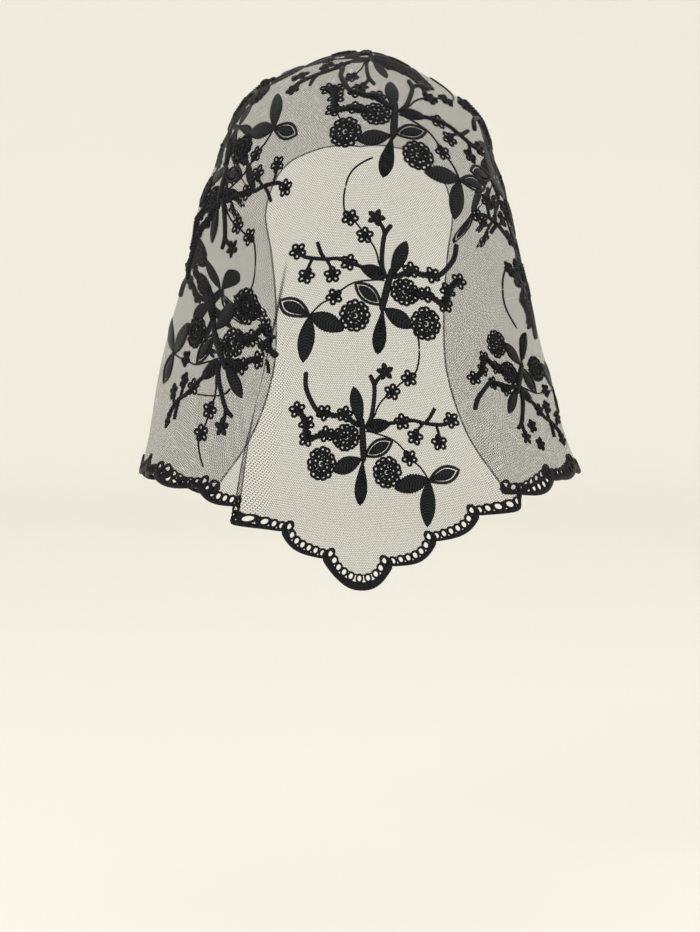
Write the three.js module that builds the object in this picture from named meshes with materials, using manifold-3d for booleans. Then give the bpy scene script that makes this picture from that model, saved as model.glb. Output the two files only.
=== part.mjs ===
// A lace headscarf of embroidered tulle in its worn form: it lies over the crown of a head and
// hangs to a pointed back. Millimetres, +Z up, the face towards +Y, the origin on the crown.
// The lace is laid out flat first, across and down from the crown. One function, drape, then
// carries every flat place to its worn place, so net, braid and embroidery keep together.
import * as THREE from "three";
import Module from "manifold-3d";

const NET_THICKNESS = 1.0;
const BRAID_WIDTH = 12.5;
const BRAID_THICKNESS = 1.8;
const BRAID_GAP = 0.7;
const SPRAY_GAP = 0.95;
const LEAF_HEIGHT = 1.7;
const ROSE_HEIGHT = 2.0;
const BLOSSOM_HEIGHT = 1.5;
const STEM_HEIGHT = 1.3;

// The worn form, ring by ring: how far along the lace from the crown, how far that has dropped,
// how far the ring then reaches to the sides, to the back and to the front, and how far it
// leans to the left.
const RINGS = [
  { along: 0, drop: 0, side: 0, lean: 0, back: 0, front: 0 },
  { along: 10, drop: 0.7, side: 9, lean: 0.7, back: 10, front: 10 },
  { along: 30, drop: 5.2, side: 23.5, lean: 2.3, back: 28.5, front: 29 },
  { along: 60, drop: 20, side: 54.6, lean: 6, back: 57, front: 59 },
  { along: 90, drop: 41.5, side: 77, lean: 3.2, back: 80, front: 82 },
  { along: 120, drop: 68, side: 87.3, lean: 3.5, back: 94, front: 94 },
  { along: 150, drop: 96.5, side: 97.8, lean: 4.7, back: 101, front: 97 },
  { along: 180, drop: 125.5, side: 102.3, lean: 4, back: 104, front: 95 },
  { along: 220, drop: 164.5, side: 111, lean: 3.2, back: 105, front: 91 },
  { along: 260, drop: 203.5, side: 119, lean: 3.2, back: 106, front: 87 },
  { along: 300, drop: 242.5, side: 128, lean: 2.6, back: 108, front: 84 },
  { along: 340, drop: 281.5, side: 142, lean: 1.5, back: 111, front: 83 },
  { along: 400, drop: 339.5, side: 154, lean: 3, back: 117, front: 84 },
];
const RING_FULLNESS = 2.25;

// Folds run out from the crown at a bearing from the middle of the back, in degrees. Each
// starts part of the way down, stands out by its height and leans sideways over the lace.
const FOLDS = [
  { name: "left_pleat", bearing: -14, hemBearing: -14, start: 185, width: 5.5, height: 4.0, lean: -8 },
  { name: "left_soft", bearing: -24, hemBearing: -25, start: 200, width: 17, height: 5, lean: -6 },
  { name: "left_cheek", bearing: -36, hemBearing: -40, start: 90, width: 26, height: 9, lean: -9 },
  { name: "left_front", bearing: -49, hemBearing: -46, start: 120, width: 15, height: 6, lean: 0 },
  { name: "right_soft", bearing: 17, hemBearing: 16, start: 215, width: 8, height: 4.5, lean: 6 },
  { name: "right_cheek", bearing: 36, hemBearing: 31, start: 90, width: 21, height: 5, lean: 6 },
  { name: "right_front", bearing: 49, hemBearing: 46, start: 150, width: 15, height: 6, lean: 0 },
];
const FOLD_REACH = 360;
const SHARP_FOLD = 10;

// Half of the flat outline, across and down from the crown: the hem from the back point to the
// front corner, and the front edge from there up to the hairline. The other half mirrors it.
const HEM = [
  { across: 0, down: 380 },
  { across: 50, down: 343.5 },
  { across: 100, down: 306.5 },
  { across: 171, down: 262.5 },
  { across: 249, down: 228 },
];
const FRONT = [
  { across: 249, down: 228 },
  { across: 230, down: 120 },
  { across: 184, down: 25 },
  { across: 128, down: -50 },
  { across: 64, down: -93 },
  { across: 0, down: -106 },
];

const HEM_STEPS = 21;
const FRONT_STEPS = 8;
const INNER_RINGS = [0.05, 0.11, 0.17, 0.235, 0.3];
const OUTER_RINGS = 8;

const SCALLOPS = 9;
const GAPS_IN_SCALLOP = 4;
const CORD_WIDTH = 2.2;
const RUNG_LENGTH = 4.6;
const BAND_NARROW = 2.6;

// One spray, across and down from its middle. A leaf has its base, its tip and its width.
const LEAVES = [
  { name: "upper", x: 5, y: -3, tipX: -2, tipY: 37, width: 9 },
  { name: "lower", x: 4, y: 6, tipX: 2, tipY: -37, width: 9 },
  { name: "satin", x: 6, y: -1, tipX: -19, tipY: -16, width: 11 },
  { name: "open", x: 3, y: -6, tipX: 26, tipY: 3, width: 11 },
  { name: "small", x: 3, y: 10, tipX: 25, tipY: 17, width: 8 },
  { name: "node_inner", x: 49, y: -16, tipX: 23, tipY: -22, width: 10 },
  { name: "node_outer", x: 45, y: -18, tipX: 67, tipY: -9, width: 10 },
  { name: "node_lower", x: 47, y: -14, tipX: 48, tipY: -50, width: 11 },
];
const ROSES = [
  { x: -5, y: 6, radius: 9.5 },
  { x: -24, y: -9, radius: 10 },
  { x: 19, y: -15, radius: 10 },
];
const BLOSSOMS = [
  { x: -36, y: 25 },
  { x: -27, y: 21 },
  { x: 18, y: 45 },
  { x: 33.4, y: 40.5 },
  { x: 60, y: 21 },
  { x: 40, y: 9 },
];
const BLOSSOM_RADIUS = 5.5;
const STEMS = [
  { name: "fork", width: 3.4, points: [[4, 6], [17, 44]] },
  { name: "climber", width: 2.8, points: [[6, 12], [32, 40], [39, 60]] },
  { name: "horn", width: 3.6, points: [[-6, 12], [-27, 21], [-32, 48]] },
  { name: "branch", width: 3, points: [[20, 14], [60, 21]] },
  { name: "tendril", width: 2.8, points: [[6, 7], [40, 8], [47, -17]] },
];

// Where the sprays lie on the flat lace, each turned in degrees and plain or mirrored. Where
// the cloth is gathered or pulled, a spray is a share of its full width (wide) or height (tall).
const SPRAYS = [
  { name: "spray_back_low", across: -3, down: 301, turn: 0, mirrored: false },
  { name: "spray_back_middle", across: 18, down: 209, turn: -10, mirrored: true },
  { name: "spray_back_high", across: 15, down: 99, turn: -7, mirrored: false },
  { name: "spray_crown", across: 10, down: -8, turn: -10, mirrored: true },
  { name: "spray_left_low", across: -87.3, down: 219, turn: -166.5, mirrored: false, wide: 0.85, tall: 1.2 },
  { name: "spray_left_high", across: -89, down: 107, turn: 171, mirrored: true, wide: 0.74, tall: 1.15 },
  { name: "spray_left_top", across: -91, down: -3, turn: 176, mirrored: false },
  { name: "spray_left_cheek", across: -180, down: 100, turn: 180, mirrored: false },
  { name: "spray_right_low", across: 104.5, down: 234, turn: 169, mirrored: true, wide: 0.81, tall: 0.87 },
  { name: "spray_right_high", across: 134, down: 122, turn: 178, mirrored: false },
  { name: "spray_right_top", across: 106, down: 22, turn: 180, mirrored: true },
];
const EDGE_MARGIN = 5;
const LONGEST_EDGE = 21;
const SLIVER = 0.1; // fused forms drop edges that lie this close to a face

const manifold = await Module();
manifold.setup();
const { Manifold } = manifold;

const radians = THREE.MathUtils.degToRad;

// A smooth curve through one column of a table whose rows are set out by another column.
function readColumn(rows, key, column, at) {
  const last = rows.length - 1;
  let low = 0;
  while (low < last - 1 && at > rows[low + 1][key]) low += 1;
  const slope = (row) => {
    const before = rows[Math.max(row - 1, 0)];
    const after = rows[Math.min(row + 1, last)];
    return (after[column] - before[column]) / (after[key] - before[key]);
  };
  const span = rows[low + 1][key] - rows[low][key];
  const t = (at - rows[low][key]) / span;
  const start = rows[low][column];
  const end = rows[low + 1][column];
  return (
    (2 * t ** 3 - 3 * t ** 2 + 1) * start +
    (t ** 3 - 2 * t ** 2 + t) * span * slope(low) +
    (3 * t ** 2 - 2 * t ** 3) * end +
    (t ** 3 - t ** 2) * span * slope(low + 1)
  );
}

// The lace meets the body of the head at this angle round from the middle of the back. Cloth
// that lies close round the back opens out towards the front.
function azimuthAt(along, bearing, side, back) {
  const ratio = along > 1 ? (2 * along) / (side + back) : 1;
  const turn = Math.abs(bearing);
  const ease = THREE.MathUtils.smoothstep(turn, radians(70), Math.PI);
  return Math.sign(bearing) * (turn + (ratio - 1) * turn * (1 - ease));
}

// The worn place of a flat place on the middle of the net's thickness.
function drapeMiddle(across, down) {
  const along = Math.hypot(across, down);
  const bearing = Math.atan2(across, down);
  const bothSides = readColumn(RINGS, "along", "side", along);
  const side = bothSides - Math.sign(bearing) * readColumn(RINGS, "along", "lean", along);
  const back = readColumn(RINGS, "along", "back", along);
  const azimuth = azimuthAt(along, bearing, bothSides, back);
  const sine = Math.sin(azimuth);
  const cosine = Math.cos(azimuth);
  const depth = cosine > 0 ? back : readColumn(RINGS, "along", "front", along);
  const reach =
    ((Math.abs(sine) / side) ** RING_FULLNESS + (Math.abs(cosine) / depth) ** RING_FULLNESS) **
    (-1 / RING_FULLNESS);
  let outward = side > 0 ? reach : 0;
  let sideways = 0;
  for (const fold of FOLDS) {
    const run = Math.max(0, (along - fold.start) / (FOLD_REACH - fold.start));
    const middle = radians(THREE.MathUtils.lerp(fold.bearing, fold.hemBearing, Math.min(run, 1)));
    const bump = THREE.MathUtils.smoothstep(run, 0, 0.8) * (0.6 + 0.4 * run);
    const off = ((bearing - middle) * along) / fold.width;
    const shape = bump * Math.exp(-off * off);
    outward += fold.height * shape;
    sideways += fold.lean * shape;
  }
  return new THREE.Vector3(
    outward * sine + sideways * cosine,
    -outward * cosine + sideways * sine,
    -readColumn(RINGS, "along", "drop", along),
  );
}

// The same place, lifted off the net along the lace's own outward direction.
function drape(across, down, lift) {
  const step = 0.5;
  const place = drapeMiddle(across, down);
  const acrossWay = drapeMiddle(across + step, down).sub(drapeMiddle(across - step, down));
  const downWay = drapeMiddle(across, down + step).sub(drapeMiddle(across, down - step));
  return place.addScaledVector(downWay.cross(acrossWay).normalize(), lift);
}

// Points along a curve through the rows, evenly spaced, without the last one.
function spacedPoints(rows, count) {
  const curve = new THREE.SplineCurve(rows.map((row) => new THREE.Vector2(row.across, row.down)));
  curve.arcLengthDivisions = 400;
  return Array.from({ length: count }, (_, step) => curve.getPointAt(step / count));
}

// The whole outline, from the back point round by the right, the hairline and the left. Across
// a sharp fold of the hem its points stand closer.
function outlinePoints() {
  const half = [...spacedPoints(HEM, HEM_STEPS), ...spacedPoints(FRONT, FRONT_STEPS)];
  const hairline = new THREE.Vector2(0, FRONT.at(-1).down);
  const mirror = half.slice(1).reverse().map((point) => new THREE.Vector2(-point.x, point.y));
  let points = [...half, hairline, ...mirror];
  const bearingOf = (point) => Math.atan2(point.x, point.y);
  for (const fold of FOLDS.filter((row) => row.width < SHARP_FOLD)) {
    const middle = radians(fold.hemBearing);
    const part = fold.width / FOLD_REACH;
    const close = [-1.5, -0.5, 0.5, 1.5].map((stop) => hemPoint(middle + stop * part));
    points = points.filter((point) => Math.abs(bearingOf(point) - middle) > 3 * part);
    points.push(...close);
  }
  const fromBack = (point) => (bearingOf(point) + 2 * Math.PI) % (2 * Math.PI);
  points.sort((one, other) => fromBack(one) - fromBack(other));
  return points;
}

// The place on the hem at a bearing from the crown.
function hemPoint(bearing) {
  let across = 0;
  for (let turn = 0; turn < 20; turn += 1) {
    across = Math.tan(Math.abs(bearing)) * readColumn(HEM, "across", "down", across);
  }
  return new THREE.Vector2(Math.sign(bearing) * across, readColumn(HEM, "across", "down", across));
}

function insideOutline(outline, x, y, margin) {
  let inside = false;
  let nearest = Infinity;
  outline.forEach((one, index) => {
    const other = outline[(index + 1) % outline.length];
    const crosses = one.y > y !== other.y > y;
    if (crosses && x < ((other.x - one.x) * (y - one.y)) / (other.y - one.y) + one.x) {
      inside = !inside;
    }
    nearest = Math.min(nearest, Math.hypot(one.x - x, one.y - y));
  });
  return inside && nearest > margin;
}

// The tulle: rays from the crown to the outline, crossed by rings, as an inner and an outer
// skin joined round the rim. Near the crown only every second ray is used.
function netGeometry(outline) {
  const rays = outline.length;
  const fine = Array.from({ length: OUTER_RINGS }, (_, ring) => {
    const start = INNER_RINGS.at(-1);
    return start + ((1 - start) * (ring + 1)) / OUTER_RINGS;
  });
  const rings = [
    ...INNER_RINGS.map((part) => ({ part, step: 2 })),
    ...fine.map((part) => ({ part, step: 1 })),
  ];
  const positions = [];
  const faces = [];
  const addSkin = (lift, flip) => {
    const vertex = (across, down) => {
      positions.push(...drape(across, down, lift).toArray());
      return positions.length / 3 - 1;
    };
    const face = (a, b, c) => faces.push(...(flip ? [a, c, b] : [a, b, c]));
    const crown = vertex(0, 0.001);
    const grid = rings.map(({ part, step }) =>
      outline.map((point, ray) => (ray % step ? null : vertex(point.x * part, point.y * part))),
    );
    for (let ray = 0; ray < rays; ray += 2) face(crown, grid[0][ray], grid[0][(ray + 2) % rays]);
    rings.slice(1).forEach(({ step }, index) => {
      const inner = grid[index];
      const outer = grid[index + 1];
      const innerStep = rings[index].step;
      for (let ray = 0; ray < rays; ray += innerStep) {
        const next = (ray + innerStep) % rays;
        if (step === innerStep) {
          face(inner[ray], outer[ray], outer[next]);
          face(inner[ray], outer[next], inner[next]);
        } else {
          const middle = (ray + 1) % rays;
          face(inner[ray], outer[ray], outer[middle]);
          face(inner[ray], outer[middle], inner[next]);
          face(inner[next], outer[middle], outer[next]);
        }
      }
    });
    return grid.at(-1);
  };
  const outerRim = addSkin(NET_THICKNESS / 2, false);
  const innerRim = addSkin(-NET_THICKNESS / 2, true);
  for (let ray = 0; ray < rays; ray += 1) {
    const next = (ray + 1) % rays;
    faces.push(outerRim[ray], innerRim[ray], innerRim[next]);
    faces.push(outerRim[ray], innerRim[next], outerRim[next]);
  }
  const geometry = new THREE.BufferGeometry();
  geometry.setAttribute("position", new THREE.Float32BufferAttribute(positions, 3));
  geometry.setIndex(faces);
  return geometry;
}

// The ladder braid follows the hem. Crossways it is a cord, a row of rungs with gaps between
// them, and a satin band whose outer edge makes the scallops.
function braidGeometry() {
  const steps = SCALLOPS * GAPS_IN_SCALLOP * 2;
  const right = [...spacedPoints(HEM, steps), new THREE.Vector2(HEM.at(-1).across, HEM.at(-1).down)];
  const left = right.slice(1).reverse().map((point) => new THREE.Vector2(-point.x, point.y));
  const path = [...left, ...right];
  const last = path.length - 1;
  const stations = path.map((point, index) => {
    const before = path[Math.max(index - 1, 0)];
    const after = path[Math.min(index + 1, last)];
    const along = new THREE.Vector2().subVectors(after, before).normalize();
    const outward = new THREE.Vector2(-along.y, along.x);
    const inScallop = (Math.abs(index - steps) / 2 / GAPS_IN_SCALLOP) % 1;
    const swell = Math.sin(Math.PI * inScallop);
    const band = BAND_NARROW + (BRAID_WIDTH - CORD_WIDTH - RUNG_LENGTH - BAND_NARROW) * swell;
    const offsets = [0, CORD_WIDTH, CORD_WIDTH + RUNG_LENGTH, CORD_WIDTH + RUNG_LENGTH + band];
    return { point, outward, offsets: offsets.map((offset) => offset + BRAID_GAP) };
  });
  // Across the open lane every second stretch between stations is a rung and the others are gaps.
  const positions = [];
  const faces = [];
  const grid = [0, 1].map((skin) =>
    stations.map((station) =>
      station.offsets.map((offset) => {
        const flat = station.outward.clone().multiplyScalar(offset).add(station.point);
        const lift = (skin ? 0.5 : -0.5) * BRAID_THICKNESS;
        positions.push(...drape(flat.x, flat.y, lift).toArray());
        return positions.length / 3 - 1;
      }),
    ),
  );
  const solid = (stretch, lane) =>
    stretch >= 0 && stretch < last && lane >= 0 && lane < 3 && !(lane === 1 && stretch % 2);
  const quad = (a, b, c, d) => faces.push(a, b, c, a, c, d);
  for (let stretch = 0; stretch < last; stretch += 1) {
    for (let lane = 0; lane < 3; lane += 1) {
      if (!solid(stretch, lane)) continue;
      const [inner, outer] = grid;
      const near = stretch;
      const far = stretch + 1;
      quad(outer[near][lane], outer[near][lane + 1], outer[far][lane + 1], outer[far][lane]);
      quad(inner[near][lane], inner[far][lane], inner[far][lane + 1], inner[near][lane + 1]);
      if (!solid(stretch, lane - 1)) {
        quad(outer[near][lane], outer[far][lane], inner[far][lane], inner[near][lane]);
      }
      if (!solid(stretch, lane + 1)) {
        quad(outer[far][lane + 1], outer[near][lane + 1], inner[near][lane + 1], inner[far][lane + 1]);
      }
      if (!solid(stretch - 1, lane)) {
        quad(outer[near][lane + 1], outer[near][lane], inner[near][lane], inner[near][lane + 1]);
      }
      if (!solid(stretch + 1, lane)) {
        quad(outer[far][lane], outer[far][lane + 1], inner[far][lane + 1], inner[far][lane]);
      }
    }
  }
  const geometry = new THREE.BufferGeometry();
  geometry.setAttribute("position", new THREE.Float32BufferAttribute(positions, 3));
  geometry.setIndex(faces);
  return geometry;
}

function solidFrom(positions, faces) {
  return new Manifold(
    new manifold.Mesh({
      numProp: 3,
      vertProperties: new Float32Array(positions),
      triVerts: new Uint32Array(faces),
    }),
  );
}

// A solid raised on the flat lace: a closed rim on the lace and one or more places on top.
function raised(rim, tops, faces) {
  const points = [...rim, ...tops].flat();
  const base = [];
  for (let corner = 1; corner < rim.length - 1; corner += 1) base.push(0, corner + 1, corner);
  return solidFrom(points, [...faces, ...base]);
}

function leafSolid(leaf) {
  const along = new THREE.Vector2(leaf.tipX - leaf.x, leaf.tipY - leaf.y);
  const across = new THREE.Vector2(-along.y, along.x).normalize();
  const place = (part, off, height) => [
    leaf.x + along.x * part + across.x * off,
    leaf.y + along.y * part + across.y * off,
    height,
  ];
  const half = leaf.width / 2;
  const rim = [
    place(0, 0, 0),
    place(0.42, -half, 0),
    place(1, 0, 0),
    place(0.42, half, 0),
  ];
  const faces = rim.flatMap((_, corner) => [corner, (corner + 1) % rim.length, rim.length]);
  return raised(rim, [place(0.45, 0, LEAF_HEIGHT)], faces);
}

// A round raised form with a few corners.
function roundSolid(x, y, radius, corners, height) {
  const rim = Array.from({ length: corners }, (_, corner) => {
    const angle = (2 * Math.PI * corner) / corners + Math.PI / 2;
    return [x + radius * Math.cos(angle), y + radius * Math.sin(angle), 0];
  });
  const faces = rim.flatMap((_, corner) => [corner, (corner + 1) % corners, corners]);
  return raised(rim, [[x, y, height]], faces);
}

// A stem is a ridged strip along its points.
function stemSolid(stem) {
  const points = stem.points.map(([x, y]) => new THREE.Vector2(x, y));
  const last = points.length - 1;
  const side = (index, off) => {
    const before = points[Math.max(index - 1, 0)];
    const after = points[Math.min(index + 1, last)];
    const along = new THREE.Vector2().subVectors(after, before).normalize();
    return [points[index].x - along.y * off, points[index].y + along.x * off, 0];
  };
  const right = points.map((_, index) => side(index, -stem.width / 2));
  const left = points.map((_, index) => side(index, stem.width / 2));
  const ridge = points.map(({ x, y }) => [x, y, STEM_HEIGHT]);
  const positions = [...right, ...left, ...ridge].flat();
  const count = points.length;
  const faces = [0, 2 * count, count, last, count + last, 2 * count + last];
  for (let index = 0; index < last; index += 1) {
    const [r, l, t] = [index, count + index, 2 * count + index];
    faces.push(r, r + 1, t + 1, r, t + 1, t, t, t + 1, l + 1, t, l + 1, l, l, l + 1, r + 1, l, r + 1, r);
  }
  return solidFrom(positions, faces);
}

// One embroidered spray: its forms are fused on the flat lace and then draped with it. What
// would lie beyond the lace's edge is cut off with the cloth, so it is left out.
function sprayGeometry(spray, outline) {
  const turn = radians(spray.turn);
  const { wide = 1, tall = 1 } = spray;
  const flip = spray.mirrored ? -wide : wide;
  const toLace = (x, y) => [
    spray.across + x * flip * Math.cos(turn) - y * tall * Math.sin(turn),
    spray.down - x * flip * Math.sin(turn) - y * tall * Math.cos(turn),
  ];
  const onLace = (x, y) => insideOutline(outline, ...toLace(x, y), EDGE_MARGIN);
  const solids = [
    ...LEAVES.filter((leaf) => onLace(leaf.tipX, leaf.tipY)).map(leafSolid),
    ...ROSES.filter((rose) => onLace(rose.x, rose.y)).map((rose) =>
      roundSolid(rose.x, rose.y, rose.radius, 6, ROSE_HEIGHT),
    ),
    ...BLOSSOMS.filter((blossom) => onLace(blossom.x, blossom.y)).map((blossom) =>
      roundSolid(blossom.x, blossom.y, BLOSSOM_RADIUS, 5, BLOSSOM_HEIGHT),
    ),
    ...STEMS.filter((stem) => stem.points.every(([x, y]) => onLace(x, y))).map(stemSolid),
  ];
  const fused = Manifold.union(solids).asOriginal().simplify(SLIVER).refineToLength(LONGEST_EDGE);
  const largest = fused.decompose().sort((one, other) => other.volume() - one.volume())[0];
  const mesh = largest.getMesh();
  const positions = [];
  for (let index = 0; index < mesh.vertProperties.length; index += mesh.numProp) {
    const [x, y, height] = mesh.vertProperties.slice(index, index + 3);
    const [across, down] = toLace(x, y);
    positions.push(...drape(across, down, NET_THICKNESS / 2 + SPRAY_GAP + height).toArray());
  }
  const faces = Array.from(mesh.triVerts);
  if (spray.mirrored) {
    for (let index = 0; index < faces.length; index += 3) {
      [faces[index + 1], faces[index + 2]] = [faces[index + 2], faces[index + 1]];
    }
  }
  const geometry = new THREE.BufferGeometry();
  geometry.setAttribute("position", new THREE.Float32BufferAttribute(positions, 3));
  geometry.setIndex(faces);
  return geometry;
}

const tulle = new THREE.MeshStandardMaterial({ color: 0x16161a, roughness: 0.85, metalness: 0 });
const cord = new THREE.MeshStandardMaterial({ color: 0x0c0c0e, roughness: 0.6, metalness: 0 });
const satin = new THREE.MeshStandardMaterial({ color: 0x101214, roughness: 0.5, metalness: 0 });

const group = new THREE.Group();
function addPiece(name, geometry, material) {
  geometry.computeVertexNormals();
  const mesh = new THREE.Mesh(geometry, material);
  mesh.name = name;
  group.add(mesh);
}

const outline = outlinePoints();
addPiece("net_veil", netGeometry(outline), tulle);
addPiece("hem_trim", braidGeometry(), cord);
for (const spray of SPRAYS) addPiece(spray.name, sprayGeometry(spray, outline), satin);

export default group;
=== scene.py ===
import math

import bmesh
import bpy
import numpy as np
from mathutils import Matrix, Vector


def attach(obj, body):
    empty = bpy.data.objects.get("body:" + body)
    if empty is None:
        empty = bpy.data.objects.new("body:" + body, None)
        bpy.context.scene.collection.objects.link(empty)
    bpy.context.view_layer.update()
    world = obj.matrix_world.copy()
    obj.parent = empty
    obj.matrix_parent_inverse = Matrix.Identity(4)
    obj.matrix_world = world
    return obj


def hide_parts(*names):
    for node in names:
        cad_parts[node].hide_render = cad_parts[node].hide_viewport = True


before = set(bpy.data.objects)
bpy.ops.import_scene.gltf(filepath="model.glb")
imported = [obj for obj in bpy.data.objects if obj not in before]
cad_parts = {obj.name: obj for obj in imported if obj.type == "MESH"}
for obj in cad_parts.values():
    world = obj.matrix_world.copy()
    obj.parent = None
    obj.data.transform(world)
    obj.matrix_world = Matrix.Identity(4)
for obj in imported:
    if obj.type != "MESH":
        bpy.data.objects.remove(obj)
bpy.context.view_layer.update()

# Tulle ground: one layer of fine black nylon net with hexagonal meshes, cut to a broad rounded
# shape with a point at the back. It lies over the crown and hangs from there in soft folds. The
# whole scarf is laid out flat here, in millimetres, and drape carries it to its worn place.
NET_CELL = 1.15
NET_THREAD = 0.2
NET_COLOUR = (0.012, 0.012, 0.013, 1.0)
NET_RINGS = 66
HEM_RAYS = 170
FRONT_RAYS = 60

# The worn form: along the lace from the crown, the drop there, the reach to the sides, the lean
# to the left, and the reach to the back and to the front.
RINGS = (
    (0, 0, 0, 0, 0, 0),
    (10, 0.7, 9, 0.7, 10, 10),
    (30, 5.2, 23.5, 2.3, 28.5, 29),
    (60, 20, 54.6, 6, 57, 59),
    (90, 41.5, 77, 3.2, 80, 82),
    (120, 68, 87.3, 3.5, 94, 94),
    (150, 96.5, 97.8, 4.7, 101, 97),
    (180, 125.5, 102.3, 4, 104, 95),
    (220, 164.5, 111, 3.2, 105, 91),
    (260, 203.5, 119, 3.2, 106, 87),
    (300, 242.5, 128, 2.6, 108, 84),
    (340, 281.5, 142, 1.5, 111, 83),
    (400, 339.5, 154, 3, 117, 84),
)
DROP, SIDE, LEAN, BACK, FRONT = 1, 2, 3, 4, 5
RING_FULLNESS = 2.25
FRONT_EASE_START = math.radians(70)

# A fold: its bearing from the middle of the back where it starts and at the hem, in degrees,
# where it starts along the lace, its width, its height and its sideways lean.
FOLDS = (
    (-12.4, -11.8, 185, 6, 5, -12.5),
    (-24, -25, 200, 17, 5, -6),
    (-36, -40, 90, 26, 9, -9),
    (-49, -46, 120, 15, 6, 0),
    (17, 16, 215, 8, 4.5, 6),
    (36, 31, 90, 21, 5, 6),
    (49, 46, 150, 15, 6, 0),
)
FOLD_REACH = 360
FOLD_FULL_AT = 0.8
FOLD_FIRST_SHARE = 0.6

# Half of the flat outline, across and down from the crown; the other half mirrors it.
HEM_LINE = ((0, 380), (50, 343.5), (100, 306.5), (171, 262.5), (249, 228))
FRONT_LINE = ((249, 228), (230, 120), (184, 25), (128, -50), (64, -93), (0, -106))
CURVE_STEPS = 80


def smooth(value, low, high):
    part = np.clip((value - low) / (high - low), 0.0, 1.0)
    return part * part * (3.0 - 2.0 * part)


def read_rows(rows, column, at):
    """One column of a table, read smoothly between its rows, which the first column sets out."""
    keys = np.array([row[0] for row in rows], float)
    values = np.array([row[column] for row in rows], float)
    slopes = np.empty(len(rows))
    slopes[1:-1] = (values[2:] - values[:-2]) / (keys[2:] - keys[:-2])
    slopes[0] = (values[1] - values[0]) / (keys[1] - keys[0])
    slopes[-1] = (values[-1] - values[-2]) / (keys[-1] - keys[-2])
    low = np.clip(np.searchsorted(keys, at) - 1, 0, len(rows) - 2)
    span = keys[low + 1] - keys[low]
    t = (at - keys[low]) / span
    return (
        (2 * t**3 - 3 * t**2 + 1) * values[low]
        + (t**3 - 2 * t**2 + t) * span * slopes[low]
        + (3 * t**2 - 2 * t**3) * values[low + 1]
        + (t**3 - t**2) * span * slopes[low + 1]
    )


def drape_middle(across, down):
    """The worn place, in millimetres, of flat places on the net."""
    along = np.maximum(np.hypot(across, down), 1e-6)
    bearing = np.arctan2(across, down)
    side = read_rows(RINGS, SIDE, along)
    back = read_rows(RINGS, BACK, along)
    ratio = np.where(along > 1, 2 * along / (side + back), 1.0)
    turn = np.abs(bearing)
    ease = smooth(turn, FRONT_EASE_START, math.pi)
    azimuth = np.sign(bearing) * (turn + (ratio - 1) * turn * (1 - ease))
    sine, cosine = np.sin(azimuth), np.cos(azimuth)
    side = side - np.sign(bearing) * read_rows(RINGS, LEAN, along)
    depth = np.where(cosine > 0, back, read_rows(RINGS, FRONT, along))
    outward = (
        np.abs(sine / side) ** RING_FULLNESS + np.abs(cosine / depth) ** RING_FULLNESS
    ) ** (-1 / RING_FULLNESS)
    sideways = np.zeros_like(outward)
    for bearing_start, bearing_hem, start, width, height, lean in FOLDS:
        run = np.maximum(0, (along - start) / (FOLD_REACH - start))
        middle = np.radians(bearing_start + (bearing_hem - bearing_start) * np.minimum(run, 1))
        bump = smooth(run, 0, FOLD_FULL_AT) * (FOLD_FIRST_SHARE + (1 - FOLD_FIRST_SHARE) * run)
        shape = bump * np.exp(-(((bearing - middle) * along / width) ** 2))
        outward = outward + height * shape
        sideways = sideways + lean * shape
    return np.stack(
        (
            outward * sine + sideways * cosine,
            -outward * cosine + sideways * sine,
            -read_rows(RINGS, DROP, along),
        ),
        axis=-1,
    )


def drape(flat):
    """Worn places in metres. A flat place has x across, y up towards the crown and z its lift."""
    across, down, lift = flat[:, 0], -flat[:, 1], flat[:, 2]
    step = 0.5
    across_way = drape_middle(across + step, down) - drape_middle(across - step, down)
    down_way = drape_middle(across, down + step) - drape_middle(across, down - step)
    normal = np.cross(down_way, across_way)
    normal /= np.linalg.norm(normal, axis=1, keepdims=True)
    return (drape_middle(across, down) + normal * lift[:, None]) / 1000.0


def curve_through(rows, count):
    """count + 1 places spaced evenly along a smooth curve through the rows."""
    rows = np.array(rows, float)
    before, after = np.vstack((rows[:1], rows)), np.vstack((rows, rows[-1:]))
    ends = np.vstack((after[1:], rows[-1:]))
    places = []
    for one in range(len(rows) - 1):
        for t in np.linspace(0, 1, CURVE_STEPS, endpoint=False):
            leave = (rows[one + 1] - before[one]) / 2
            arrive = (ends[one + 1] - rows[one]) / 2
            gap = rows[one + 1] - rows[one]
            places.append(
                rows[one] + leave * t + (3 * gap - 2 * leave - arrive) * t**2
                + (leave + arrive - 2 * gap) * t**3
            )
    places.append(rows[-1])
    places = np.array(places)
    run = np.concatenate(([0], np.cumsum(np.linalg.norm(np.diff(places, axis=0), axis=1))))
    at = np.linspace(0, run[-1], count + 1)
    return np.stack([np.interp(at, run, places[:, axis]) for axis in (0, 1)], axis=1), at


def wear(name, mesh, material):
    """Drapes a mesh laid out flat and makes it an object that rides on the scarf."""
    flat = np.empty(len(mesh.vertices) * 3)
    mesh.vertices.foreach_get("co", flat)
    mesh.vertices.foreach_set("co", drape(flat.reshape(-1, 3)).ravel())
    mesh.update()
    mesh.polygons.foreach_set("use_smooth", [True] * len(mesh.polygons))
    mesh.materials.append(material)
    worn = bpy.data.objects.new(name, mesh)
    bpy.context.scene.collection.objects.link(worn)
    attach(worn, "root")
    return worn


def link(tree, source, target):
    tree.links.new(source, target)
    return target


def math_node(tree, operation, *inputs):
    """A Math node on numbers or sockets; returns its result."""
    node = tree.nodes.new("ShaderNodeMath")
    node.operation = operation
    for socket, value in zip(node.inputs, inputs):
        if isinstance(value, (int, float)):
            socket.default_value = value
        else:
            tree.links.new(value, socket)
    return node.outputs[0]


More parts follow.
